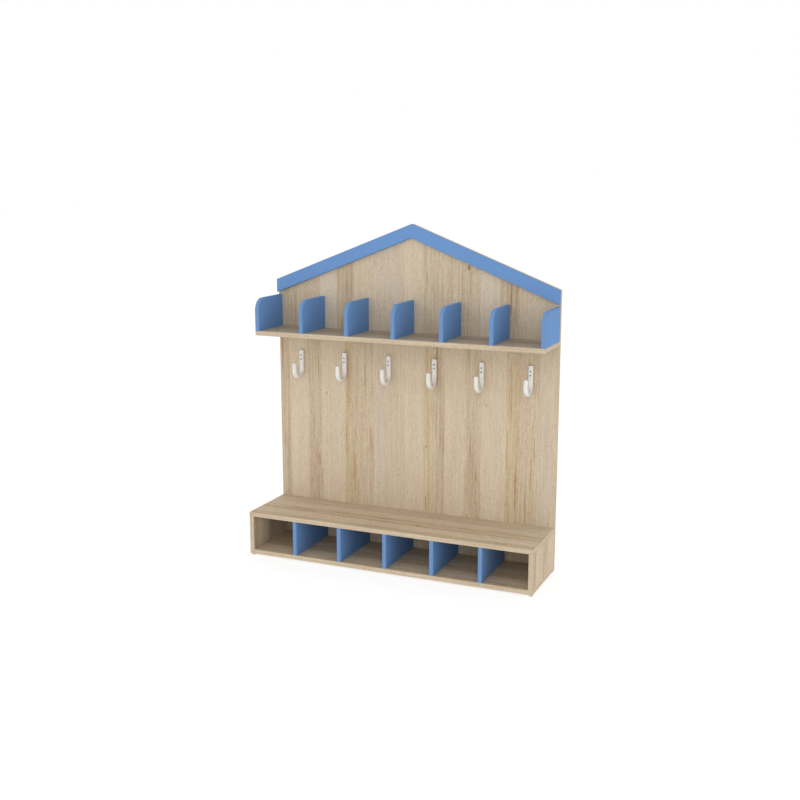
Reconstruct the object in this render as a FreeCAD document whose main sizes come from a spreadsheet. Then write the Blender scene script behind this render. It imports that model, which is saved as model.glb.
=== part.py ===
import FreeCAD, Part
import os

import Sketcher

# A child's cloakroom bench: a gabled back panel carries a shelf with upright dividers, a row of
# coat hooks and two roof strips, and an open bench with cubbies stands against its foot.
# X runs to the right, Y to the wall and Z up. The origin is on the floor, under the middle of the bench.

COMPARTMENTS = 6
SCREWS_PER_HOOK = 2

# Driving dimensions in millimetres. Heights stack up from the floor, and depths run out from the panel.
SIZES = {
    # Boards
    "overall_width": 1200,
    "board": 18,
    "blue_board": 16,
    "band": 2,
    # Bench
    "bench_depth": 282,
    "cubby_height": 140,
    "glide_height": 7,
    "glide_diameter": 16,
    "glide_chamfer": 1,
    "glide_stem_diameter": 5,
    "glide_stem_length": 12,
    "glide_inset": 11,
    # Shelf
    "hanging_space": 715,
    "shelf_depth": 198,
    "divider_height": 130,
    "divider_radius": 50,
    # Roof
    "eave_gap": 9.5,
    "strip_width": 50,
    "roof_rise": 234,
    # Coat hooks
    "hook_drop": 79,
    "hook_shank": 75,
    "hook_tip": 31,
    "hook_gap": 50,
    "hook_width": 18,
    "hook_thickness": 15,
    "hook_edge": 4.5,
    "hook_end_edge": 2,
    "hook_screw_drop": 22.5,
    "hook_screw_spacing": 16,
    # Countersunk wood screws; the cover is the board left in front of a tip
    "screw_head_diameter": 8,
    "screw_head_depth": 2.2,
    "screw_diameter": 4,
    "screw_tip": 4,
    "screw_cover": 4,
    "strip_screw_inset": 60,
    "divider_screw_bite": 22,
    "divider_screw_inset": 50,
    "divider_screw_drop": 50,
    # Joint screws with a plain collar as long as the first board is thick
    "joint_screw_head_diameter": 10,
    "joint_screw_head_depth": 3,
    "joint_screw_collar_diameter": 7,
    "joint_screw_diameter": 5,
    "joint_screw_tip": 5,
    "joint_screw_bite": 32,
    "joint_inset": 60,
    # Dowels, with some of the seat left over them
    "dowel_diameter": 8,
    "dowel_length": 30,
    "dowel_cover": 6,
}

# Places along X, Y and Z, as expressions on the driving dimensions.
HALF = "(Sizes.overall_width / 2)"
REAR = "((Sizes.bench_depth + Sizes.board) / 2)"
PANEL_FRONT = f"({REAR} - Sizes.board)"
BENCH_FRONT = f"({PANEL_FRONT} - Sizes.bench_depth)"
SHELF_FRONT = f"({PANEL_FRONT} - Sizes.shelf_depth)"
CUBBY_FLOOR = "(Sizes.glide_height + Sizes.board)"
SEAT_UNDERSIDE = f"({CUBBY_FLOOR} + Sizes.cubby_height)"
SHELF_UNDERSIDE = f"({SEAT_UNDERSIDE} + Sizes.board + Sizes.hanging_space)"
SHELF_TOP = f"({SHELF_UNDERSIDE} + Sizes.board)"
DIVIDER_TOP = f"({SHELF_TOP} + Sizes.divider_height)"
HOOK_TOP = f"({SHELF_UNDERSIDE} - Sizes.hook_drop)"

# The roof's slope, and how much longer a vertical cut across a sloping edge is than a square one.
SLOPE = f"(Sizes.roof_rise / {HALF})"
SECANT = f"sqrt(1 + {SLOPE} ^ 2)"
STRIP_DROP = f"(Sizes.strip_width * {SECANT})"
BAND_DROP = f"(Sizes.band * {SECANT})"
EAVE = f"({DIVIDER_TOP} + Sizes.eave_gap + {STRIP_DROP})"
RIDGE = f"({EAVE} + Sizes.roof_rise)"

# Clear widths between the uprights: the shelf ends in blue dividers, the bench in oak sides.
SHELF_BAY = f"((Sizes.overall_width - {COMPARTMENTS + 1} * Sizes.blue_board) / {COMPARTMENTS})"
CUBBY = (
    f"((Sizes.overall_width - 2 * Sizes.board - {COMPARTMENTS - 1} * Sizes.blue_board)"
    f" / {COMPARTMENTS})"
)

# For each sketch plane: its role, the axis across it, and whether a pad is turned to run up that axis.
PLANES = {"XY": ("XY_Plane", "z", False), "XZ": ("XZ_Plane", "y", True), "YZ": ("YZ_Plane", "x", False)}
FULL_TURN = 360
QUARTER_TURN = 90
UP = FreeCAD.Rotation()
TO_FRONT = FreeCAD.Rotation(FreeCAD.Vector(1, 0, 0), QUARTER_TURN)
TO_WALL = FreeCAD.Rotation(FreeCAD.Vector(1, 0, 0), -QUARTER_TURN)
CLOCKWISE = -1
ANTICLOCKWISE = 1
START_INDEX, END_INDEX, CENTRE_INDEX = 1, 2, 3
SKETCH_ORIGIN = (-1, START_INDEX)
SMOOTH_ANGLE = 0.1
NEAR = 1e-6

doc = FreeCAD.newDocument("CloakroomBench")
sheet = doc.addObject("Spreadsheet::Sheet", "Sizes")
for row, (alias, size) in enumerate(SIZES.items(), 1):
    sheet.set(f"A{row}", alias)
    sheet.set(f"B{row}", str(size))
    sheet.setAlias(f"B{row}", alias)
doc.recompute()

nodes = []


def number(expression):
    return float(sheet.evalExpression(expression))


def vector(x, y):
    return FreeCAD.Vector(number(x), number(y), 0)


def keep(piece, label):
    """Names a finished sub-part, which is then written to a file of that name."""
    piece.Label = label
    nodes.append(piece)
    return piece


# Sketches and solids


def arc_between(start, end, centre, turn):
    """Circular arc from start to end; a clockwise one is stored from its end to its start."""
    first, last = (start, end) if turn == ANTICLOCKWISE else (end, start)
    circle = Part.Circle(centre, FreeCAD.Vector(0, 0, 1), (start - centre).Length)
    return Part.ArcOfCircle(circle, circle.parameter(first), circle.parameter(last))


def outline(body, plane, steps):
    """Closed sketch through the steps: (x, y) ends a line, (x, y, centre x, centre y, turn) ends an arc."""
    sketch = body.newObject("Sketcher::SketchObject", f"{body.Name}_outline")
    role = PLANES[plane][0]
    sketch.AttachmentSupport = [(next(p for p in body.Origin.OriginFeatures if p.Role == role), "")]
    sketch.MapMode = "FlatFace"
    corners = [vector(*step[:2]) for step in steps]
    ends = []
    for index, step in enumerate(steps):
        start, end = corners[index - 1], corners[index]
        if len(step) == 2:
            sketch.addGeometry(Part.LineSegment(start, end))
            ends.append((START_INDEX, END_INDEX))
            continue
        centre_x, centre_y, turn = step[2:]
        sketch.addGeometry(arc_between(start, end, vector(centre_x, centre_y), turn))
        arc_ends = (START_INDEX, END_INDEX)
        ends.append(arc_ends if turn == ANTICLOCKWISE else arc_ends[::-1])
    for index, step in enumerate(steps):
        before = (index - 1) % len(steps)
        joined = (before, ends[before][1], index, ends[index][0])
        sketch.addConstraint(Sketcher.Constraint("Coincident", *joined))
        bound = [("DistanceX", ends[index][1], step[0]), ("DistanceY", ends[index][1], step[1])]
        if len(step) > 2:
            bound.append(("DistanceY", CENTRE_INDEX, step[3]))
        for kind, position, expression in bound:
            constraint = Sketcher.Constraint(kind, *SKETCH_ORIGIN, index, position, number(expression))
            sketch.setExpression(f"Constraints[{sketch.addConstraint(constraint)}]", expression)
    return sketch


def prism(name, plane, steps, thickness, level):
    """Outline padded by the thickness, standing at the level on the axis across its plane."""
    body = doc.addObject("PartDesign::Body", name)
    pad = body.newObject("PartDesign::Pad", f"{name}_pad")
    pad.Profile = outline(body, plane, steps)
    pad.setExpression("Length", thickness)
    pad.Reversed = PLANES[plane][2]
    body.setExpression(f"Placement.Base.{PLANES[plane][1]}", level)
    return body


def turned(name, steps):
    """Solid of revolution about Z from a half profile of radii and heights."""
    body = doc.addObject("PartDesign::Body", name)
    profile = outline(body, "XZ", steps)
    revolution = body.newObject("PartDesign::Revolution", f"{name}_turn")
    revolution.Profile = profile
    revolution.ReferenceAxis = (profile, ["V_Axis"])
    revolution.Angle = FULL_TURN
    return body


def placed(master, name, place, rotation):
    """One more copy of a master piece, with its place bound to expressions."""
    copy = doc.addObject("App::Link", name)
    copy.LinkedObject = master
    copy.Placement = FreeCAD.Placement(FreeCAD.Vector(), rotation)
    for axis, expression in zip("xyz", place):
        copy.setExpression(f"Placement.Base.{axis}", expression)
    return copy


def gathered(label, members):
    """Sub-part made of several separate solids."""
    group = doc.addObject("Part::Compound", label)
    group.Links = members
    return keep(group, label)


def fasteners(label, master, places, rotation):
    """Group of equal fasteners at the places."""
    copies = [placed(master, f"{label}_{i}", place, rotation) for i, place in enumerate(places, 1)]
    return gathered(label, copies)


def drilled(blank, label, groups):
    """The blank with a hole for each fastener of the groups that reaches it."""
    tool = groups[0]
    if len(groups) > 1:
        tool = doc.addObject("Part::Compound", f"{label}_drills")
        tool.Links = groups
    cut = doc.addObject("Part::Cut", label)
    cut.Base = blank
    cut.Tool = tool
    return keep(cut, label)


def rectangular_board(label, band_label, plane, sides, banded, thickness, level, groups):
    """Drilled board and the mitred edge bands on its banded sides, inside one outer rectangle."""
    outer = dict(zip(("left", "right", "bottom", "top"), sides))
    inwards = {"left": "+", "right": "-", "bottom": "+", "top": "-"}
    inner = dict(outer)
    for side in banded:
        inner[side] = f"({outer[side]} {inwards[side]} Sizes.band)"
    corner_names = [("left", "bottom"), ("right", "bottom"), ("right", "top"), ("left", "top")]
    core = [(inner[x], inner[y]) for x, y in corner_names]
    drilled(prism(f"{label}_blank", plane, core, thickness, level), label, groups)
    bands = []
    for side in banded:
        first, last = [corner for corner in corner_names if side in corner]
        edge = [(outer[first[0]], outer[first[1]]), (outer[last[0]], outer[last[1]]),
                (inner[last[0]], inner[last[1]]), (inner[first[0]], inner[first[1]])]
        bands.append(prism(f"{band_label}_{side}", plane, edge, thickness, level))
    gathered(band_label, bands)


# Places of the repeated pieces


def shelf_divider_side(index):
    """Left face of a shelf divider, counted from 0 at the left end."""
    return f"(-{HALF} + {index} * ({SHELF_BAY} + Sizes.blue_board))"


def bay_middle(index):
    return f"({shelf_divider_side(index)} + Sizes.blue_board + {SHELF_BAY} / 2)"


def bench_divider_side(index):
    """Left face of a bench divider, counted from 0."""
    return f"(-{HALF} + Sizes.board + {CUBBY} + {index} * ({CUBBY} + Sizes.blue_board))"


SIDE_LEFT = f"(-{HALF})"
SIDE_RIGHT = f"({HALF} - Sizes.board)"
shelf_dividers = [shelf_divider_side(i) for i in range(COMPARTMENTS + 1)]
bench_dividers = [bench_divider_side(i) for i in range(COMPARTMENTS - 1)]
bays = [bay_middle(i) for i in range(COMPARTMENTS)]
upright_middles = [f"({side} + Sizes.board / 2)" for side in (SIDE_LEFT, SIDE_RIGHT)]
upright_middles += [f"({side} + Sizes.blue_board / 2)" for side in bench_dividers]
divider_middles = [f"({side} + Sizes.blue_board / 2)" for side in shelf_dividers]


def roof_height(distance):
    """Height of the roof line at a distance from the ridge."""
    return f"({RIDGE} - {distance} * {SLOPE})"


# Fasteners, each turned about its own axis from the face of its head


def wood_screw(name, length):
    return turned(name, [
        ("0", "0"),
        ("Sizes.screw_head_diameter / 2", "0"),
        ("Sizes.screw_diameter / 2", "Sizes.screw_head_depth"),
        ("Sizes.screw_diameter / 2", f"{length} - Sizes.screw_tip"),
        ("0", length),
    ])


hook_screw = wood_screw("hook_screw", "(Sizes.hook_thickness + Sizes.board - Sizes.screw_cover)")
strip_screw = wood_screw("strip_screw", "(Sizes.board + Sizes.blue_board - Sizes.screw_cover)")
divider_screw = wood_screw("divider_screw", "(Sizes.board + Sizes.divider_screw_bite)")
JOINT_SCREW_LENGTH = "(Sizes.board + Sizes.joint_screw_bite)"
joint_screw = turned("joint_screw", [
    ("0", "0"),
    ("Sizes.joint_screw_head_diameter / 2", "0"),
    ("Sizes.joint_screw_collar_diameter / 2", "Sizes.joint_screw_head_depth"),
    ("Sizes.joint_screw_collar_diameter / 2", "Sizes.board"),
    ("Sizes.joint_screw_diameter / 2", "Sizes.board"),
    ("Sizes.joint_screw_diameter / 2", f"{JOINT_SCREW_LENGTH} - Sizes.joint_screw_tip"),
    ("0", JOINT_SCREW_LENGTH),
])
dowel = turned("dowel", [
    ("0", "0"),
    ("Sizes.dowel_diameter / 2", "0"),
    ("Sizes.dowel_diameter / 2", "Sizes.dowel_length"),
    ("0", "Sizes.dowel_length"),
])
glide = turned("glide", [
    ("0", "0"),
    ("Sizes.glide_diameter / 2 - Sizes.glide_chamfer", "0"),
    ("Sizes.glide_diameter / 2", "Sizes.glide_chamfer"),
    ("Sizes.glide_diameter / 2", "Sizes.glide_height"),
    ("Sizes.glide_stem_diameter / 2", "Sizes.glide_height"),
    ("Sizes.glide_stem_diameter / 2", "Sizes.glide_height + Sizes.glide_stem_length"),
    ("0", "Sizes.glide_height + Sizes.glide_stem_length"),
])

bench_joints = [f"({BENCH_FRONT} + Sizes.joint_inset)", f"({PANEL_FRONT} - Sizes.joint_inset)"]
upright_joints = [(x, y) for x in upright_middles for y in bench_joints]
base_screws = fasteners(
    "base_screws", joint_screw, [(x, y, "Sizes.glide_height") for x, y in upright_joints], UP
)
DOWEL_FOOT = f"({SEAT_UNDERSIDE} + Sizes.board - Sizes.dowel_cover - Sizes.dowel_length)"
seat_dowels = fasteners("seat_dowels", dowel, [(x, y, DOWEL_FOOT) for x, y in upright_joints], UP)
# The panel screws stand in every outer and middle bay, at mid-thickness of base, seat and shelf.
panel_screws = fasteners(
    "panel_screws", joint_screw,
    [(bays[bay], REAR, f"{underside} + Sizes.board / 2")
     for underside in ("Sizes.glide_height", SEAT_UNDERSIDE, SHELF_UNDERSIDE)
     for bay in (0, COMPARTMENTS // 2 - 1, COMPARTMENTS // 2, COMPARTMENTS - 1)],
    TO_FRONT,
)
# Each shelf divider has two screws through the shelf and one through the panel.
shelf_joints = {
    "front": f"({SHELF_FRONT} + Sizes.divider_screw_inset)",
    "rear": f"({PANEL_FRONT} - Sizes.divider_screw_inset)",
}
divider_screw_copies = []
for number_from_left, x in enumerate(divider_middles, 1):
    for place, y in shelf_joints.items():
        name = f"divider_{place}_screw_{number_from_left}"
        divider_screw_copies.append(placed(divider_screw, name, (x, y, SHELF_UNDERSIDE), UP))
    back = (x, REAR, f"{DIVIDER_TOP} - Sizes.divider_screw_drop")
    name = f"divider_back_screw_{number_from_left}"
    divider_screw_copies.append(placed(divider_screw, name, back, TO_FRONT))
divider_screws = gathered("shelf_divider_screws", divider_screw_copies)
strip_distances = ["Sizes.strip_screw_inset", f"({HALF} / 2)", f"({HALF} - Sizes.strip_screw_inset)"]
strip_screws = fasteners(
    "roof_strip_screws", strip_screw,
    [(f"{sign} * {distance}", REAR, f"{roof_height(distance)} - {STRIP_DROP} / 2")
     for sign in (-1, 1) for distance in strip_distances],
    TO_FRONT,
)
SHANK_FRONT = f"({PANEL_FRONT} - Sizes.hook_thickness)"
hook_screw_heights = [
    f"{HOOK_TOP} - Sizes.hook_screw_drop - {i} * Sizes.hook_screw_spacing" for i in range(SCREWS_PER_HOOK)
]
hook_screws = fasteners(
    "hook_screws", hook_screw, [(x, SHANK_FRONT, z) for x in bays for z in hook_screw_heights], TO_WALL
)
glides = fasteners(
    "glides", glide,
    [(x, y, "0") for x in upright_middles[:2]
     for y in (f"{BENCH_FRONT} + Sizes.glide_inset", f"{PANEL_FRONT} + Sizes.board / 2")],
    UP,
)

# Bench: seat and base over the whole width, with the sides and dividers standing between them

for label, level, groups in (
    ("bench_base", "Sizes.glide_height", [base_screws, panel_screws, glides]),
    ("bench_seat", SEAT_UNDERSIDE, [seat_dowels, panel_screws]),
):
    rectangular_board(
        label, f"{label}_band", "XY", (SIDE_LEFT, HALF, BENCH_FRONT, PANEL_FRONT),
        ("left", "right", "bottom"), "Sizes.board", level, groups,
    )

uprights = [
    ("bench_side_left", "bench_side_left_band", "Sizes.board", SIDE_LEFT),
    ("bench_side_right", "bench_side_right_band", "Sizes.board", SIDE_RIGHT),
]
uprights += [
    (f"bench_divider_{i}", f"bench_divider_band_{i}", "Sizes.blue_board", side)
    for i, side in enumerate(bench_dividers, 1)
]
for label, band_label, thickness, side in uprights:
    rectangular_board(
        label, band_label, "YZ", (BENCH_FRONT, PANEL_FRONT, CUBBY_FLOOR, SEAT_UNDERSIDE), ("left",),
        thickness, side, [base_screws, seat_dowels],
    )

# Shelf, and the dividers that stand on it

rectangular_board(
    "shelf", "shelf_band", "XY", (SIDE_LEFT, HALF, SHELF_FRONT, PANEL_FRONT), ("left", "right", "bottom"),
    "Sizes.board", SHELF_UNDERSIDE, [divider_screws, panel_screws],
)


def divider_profile(inset):
    """Front edge, rounded corner and top edge of a shelf divider, drawn in by an inset."""
    front = f"({SHELF_FRONT} + {inset})"
    top = f"({DIVIDER_TOP} - {inset})"
    return front, top


front, top = divider_profile("Sizes.band")
outer_front, outer_top = divider_profile("0")
centre = (f"({SHELF_FRONT} + Sizes.divider_radius)", f"({DIVIDER_TOP} - Sizes.divider_radius)")
for number_from_left, side in enumerate(shelf_dividers, 1):
    core = [
        (PANEL_FRONT, SHELF_TOP),
        (front, SHELF_TOP),
        (front, centre[1]),
        (centre[0], top, *centre, CLOCKWISE),
        (PANEL_FRONT, top),
    ]
    band = [
        (outer_front, SHELF_TOP),
        (outer_front, centre[1]),
        (centre[0], outer_top, *centre, CLOCKWISE),
        (PANEL_FRONT, outer_top),
        (PANEL_FRONT, top),
        (centre[0], top),
        (front, centre[1], *centre, ANTICLOCKWISE),
        (front, SHELF_TOP),
    ]
    label = f"shelf_divider_{number_from_left}"
    drilled(prism(f"{label}_blank", "YZ", core, "Sizes.blue_board", side), label, [divider_screws])
    band_label = f"shelf_divider_band_{number_from_left}"
    keep(prism(band_label, "YZ", band, "Sizes.blue_board", side), band_label)

# Back panel: a gabled board with bands on its sides and slopes

CORE_HALF = f"({HALF} - Sizes.band)"
CORE_EAVE = f"({roof_height(CORE_HALF)} - {BAND_DROP})"
CORE_RIDGE = f"({RIDGE} - {BAND_DROP})"
panel_core = [
    (f"-{CORE_HALF}", "Sizes.glide_height"),
    (CORE_HALF, "Sizes.glide_height"),
    (CORE_HALF, CORE_EAVE),
    ("0", CORE_RIDGE),
    (f"-{CORE_HALF}", CORE_EAVE),
]
drilled(
    prism("back_panel_blank", "XZ", panel_core, "Sizes.board", PANEL_FRONT), "back_panel",
    [panel_screws, divider_screws, strip_screws, hook_screws, glides],
)
panel_bands = []
for hand, sign in (("left", "-"), ("right", "")):
    upright = [
        (f"{sign}{HALF}", "Sizes.glide_height"),
        (f"{sign}{CORE_HALF}", "Sizes.glide_height"),
        (f"{sign}{CORE_HALF}", CORE_EAVE),
        (f"{sign}{HALF}", EAVE),
    ]
    slope = [(f"{sign}{HALF}", EAVE), (f"{sign}{CORE_HALF}", CORE_EAVE), ("0", CORE_RIDGE), ("0", RIDGE)]
    for place, edge in (("side", upright), ("slope", slope)):
        panel_bands.append(prism(f"panel_band_{hand}_{place}", "XZ", edge, "Sizes.board", PANEL_FRONT))
gathered("back_panel_band", panel_bands)

# Roof strips: cut square to the floor at the eaves and mitred against each other at the ridge

STRIP_FRONT = f"({PANEL_FRONT} - Sizes.blue_board)"
for hand, sign in (("left", "-"), ("right", "")):
    upper_outer = [(f"{sign}{HALF}", EAVE), ("0", RIDGE)]
    upper_inner = [(f"{sign}{CORE_HALF}", CORE_EAVE), ("0", CORE_RIDGE)]
    lower_outer = [(x, f"({z} - {STRIP_DROP})") for x, z in upper_outer]
    lower_inner = [(x, f"({z} - {STRIP_DROP} + 2 * {BAND_DROP})") for x, z in upper_inner]
    label = f"roof_strip_{hand}"
    core = upper_inner + lower_inner[::-1]
    drilled(prism(f"{label}_blank", "XZ", core, "Sizes.blue_board", STRIP_FRONT), label, [strip_screws])
    edges = {
        "top": upper_outer + upper_inner[::-1],
        "bottom": lower_outer + lower_inner[::-1],
        "eave": [upper_outer[0], upper_inner[0], lower_inner[0], lower_outer[0]],
    }
    gathered(f"{label}_band", [
        prism(f"{label}_band_{edge}", "XZ", steps, "Sizes.blue_board", STRIP_FRONT)
        for edge, steps in edges.items()
    ])

# Coat hooks: a bar bent into a J, with rounded long edges and softened ends


def rounded(body, radius, edges):
    """Fillet of the body's last feature on the named edges."""
    base = body.Tip
    fillet = body.newObject("PartDesign::Fillet", f"{base.Name}_rounding")
    fillet.Base = (base, edges)
    fillet.setExpression("Radius", radius)
    doc.recompute()


def long_edges(shape, ends):
    """Names of the edges along the bar's two sides, from one end height to the other."""
    names = []
    for index, edge in enumerate(shape.Edges, 1):
        at_end = any(all(abs(v.Z - end) < NEAR for v in edge.Vertexes) for end in ends)
        if edge.BoundBox.XLength < NEAR and not at_end:
            names.append(f"Edge{index}")
    return names


def sharp_edges(shape):
    """Names of the edges where two faces meet at an angle."""
    names = []
    for index, edge in enumerate(shape.Edges, 1):
        middle = edge.valueAt((edge.FirstParameter + edge.LastParameter) / 2)
        faces = shape.ancestorsOfType(edge, Part.Face)
        first, last = (face.normalAt(*face.Surface.parameter(middle)) for face in faces)
        if first.getAngle(last) > SMOOTH_ANGLE:
            names.append(f"Edge{index}")
    return names


TIP_BACK = f"({SHANK_FRONT} - Sizes.hook_gap)"
TIP_FRONT = f"({TIP_BACK} - Sizes.hook_thickness)"
BEND_CENTRE = (f"({SHANK_FRONT} - Sizes.hook_gap / 2)", f"({HOOK_TOP} - Sizes.hook_shank)")
TIP_TOP = f"({BEND_CENTRE[1]} + Sizes.hook_tip)"
HOOK_EDGE = "min(Sizes.hook_edge; 0.4 * Sizes.hook_thickness; 0.4 * Sizes.hook_width)"
HOOK_END_EDGE = f"min(Sizes.hook_end_edge; 0.8 * {HOOK_EDGE})"
hook_outline = [
    (PANEL_FRONT, HOOK_TOP),
    (SHANK_FRONT, HOOK_TOP),
    (SHANK_FRONT, BEND_CENTRE[1]),
    (TIP_BACK, BEND_CENTRE[1], *BEND_CENTRE, CLOCKWISE),
    (TIP_BACK, TIP_TOP),
    (TIP_FRONT, TIP_TOP),
    (TIP_FRONT, BEND_CENTRE[1]),
    (PANEL_FRONT, BEND_CENTRE[1], *BEND_CENTRE, ANTICLOCKWISE),
]
for number_from_left, x in enumerate(bays, 1):
    label = f"coat_hook_{number_from_left}"
    hook = prism(f"{label}_blank", "YZ", hook_outline, "Sizes.hook_width", f"{x} - Sizes.hook_width / 2")
    doc.recompute()
    rounded(hook, HOOK_EDGE, long_edges(hook.Tip.Shape, (number(HOOK_TOP), number(TIP_TOP))))
    rounded(hook, HOOK_END_EDGE, sharp_edges(hook.Tip.Shape))
    drilled(hook, label, [hook_screws])

doc.recompute()

for item in doc.Objects:
    if {"Invalid", "Error"} & set(item.State):
        raise RuntimeError(f"{item.Label} failed: {item.State}")
for node in nodes:
    if node.Shape.isNull() or not node.Shape.isValid() or not node.Shape.Solids:
        raise RuntimeError(f"{node.Label} has no valid solid")

os.makedirs("parts", exist_ok=True)
for node in nodes:
    node.Shape.exportStep(f"parts/{node.Label}.step")
print(f"{len(nodes)} sub-parts, overall height {number(RIDGE):.1f} mm")
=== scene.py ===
"""Looks of the cloakroom bench: oak-decor and blue boards, edge bands, moulded hooks, screws and glides.

Sizes are in metres in the part's own frame: X to the right, Y to the wall and Z up.
"""
import logging
from dataclasses import dataclass, field, replace
from enum import Enum
from typing import Any, Mapping, Optional, Sequence, Union

import bmesh
import bpy
import numpy as np
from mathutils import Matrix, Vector


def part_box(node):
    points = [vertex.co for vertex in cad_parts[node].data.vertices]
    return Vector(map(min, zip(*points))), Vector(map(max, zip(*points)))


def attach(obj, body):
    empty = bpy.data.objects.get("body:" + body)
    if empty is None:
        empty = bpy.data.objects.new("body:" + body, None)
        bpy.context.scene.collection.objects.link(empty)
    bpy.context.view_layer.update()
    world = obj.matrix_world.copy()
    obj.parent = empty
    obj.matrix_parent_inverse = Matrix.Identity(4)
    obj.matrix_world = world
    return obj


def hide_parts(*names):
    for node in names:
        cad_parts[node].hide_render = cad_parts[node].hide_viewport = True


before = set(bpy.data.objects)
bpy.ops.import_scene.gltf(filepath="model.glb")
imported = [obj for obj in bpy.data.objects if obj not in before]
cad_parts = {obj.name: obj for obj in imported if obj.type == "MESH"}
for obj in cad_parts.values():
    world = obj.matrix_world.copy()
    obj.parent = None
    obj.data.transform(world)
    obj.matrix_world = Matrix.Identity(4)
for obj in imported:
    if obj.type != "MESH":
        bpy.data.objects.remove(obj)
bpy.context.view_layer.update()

LOG = logging.getLogger("cloakroom_bench")
BODY = "root"
WELD = 1e-6
TINY = 1e-6
SHARP_ANGLE = np.radians(40)
ARRIS_STEPS = 5
QUARTER = np.pi / 2
TURN = 2 * np.pi
WHITE = (1.0, 1.0, 1.0, 1.0)
BAYS = 6
ROOF_RISE = 0.234
STRIP_BREADTH = 0.050
BAND_DEPTH = 0.002
HOOK_SCREW_DROPS = (0.0225, 0.0385)

Array = np.ndarray
Material = bpy.types.Material
Piece = bpy.types.Object
Pieces = list[Piece]
Socket = bpy.types.NodeSocket
Input = Union["Value", Socket, float, Sequence[float]]
Inputs = Mapping[str, Input]
Settings = Mapping[str, Any]


# Shader nodes


class Value:
    """A number socket that joins in Python arithmetic: each operation adds one Math node."""

    def __init__(self, shader: "Shader", socket: Socket) -> None:
        """Keeps the socket and the shader that it belongs to."""
        self.shader = shader
        self.socket = socket

    def __add__(self, other: Input) -> "Value":
        """Sum."""
        return self.shader.math("ADD", self, other)

    def __radd__(self, other: Input) -> "Value":
        """Sum with the number first."""
        return self.shader.math("ADD", other, self)

    def __sub__(self, other: Input) -> "Value":
        """Difference."""
        return self.shader.math("SUBTRACT", self, other)

    def __rsub__(self, other: Input) -> "Value":
        """Difference with the number first."""
        return self.shader.math("SUBTRACT", other, self)

    def __mul__(self, other: Input) -> "Value":
        """Product."""
        return self.shader.math("MULTIPLY", self, other)

    def __rmul__(self, other: Input) -> "Value":
        """Product with the number first."""
        return self.shader.math("MULTIPLY", other, self)

    def __truediv__(self, other: Input) -> "Value":
        """Quotient."""
        return self.shader.math("DIVIDE", self, other)

    def __rtruediv__(self, other: Input) -> "Value":
        """Quotient with the number first."""
        return self.shader.math("DIVIDE", other, self)

    def fract(self) -> "Value":
        """Part after the decimal point."""
        return self.shader.math("FRACT", self)

    def step(self, low: float, high: float) -> "Value":
        """Smooth step from 0 at low to 1 at high, or down from 1 where high is the smaller."""
        limits = {"Value": self, "From Min": low, "From Max": high}
        return self.shader.value("ShaderNodeMapRange", {"interpolation_type": "SMOOTHSTEP"}, limits, "Result")


@dataclass(frozen=True)
class Speckle:
    """Noise over an object: its seed, its octaves and the sizes of its features along X, Y and Z."""

    seed: float
    octaves: float
    sizes: tuple[float, float, float]


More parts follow.
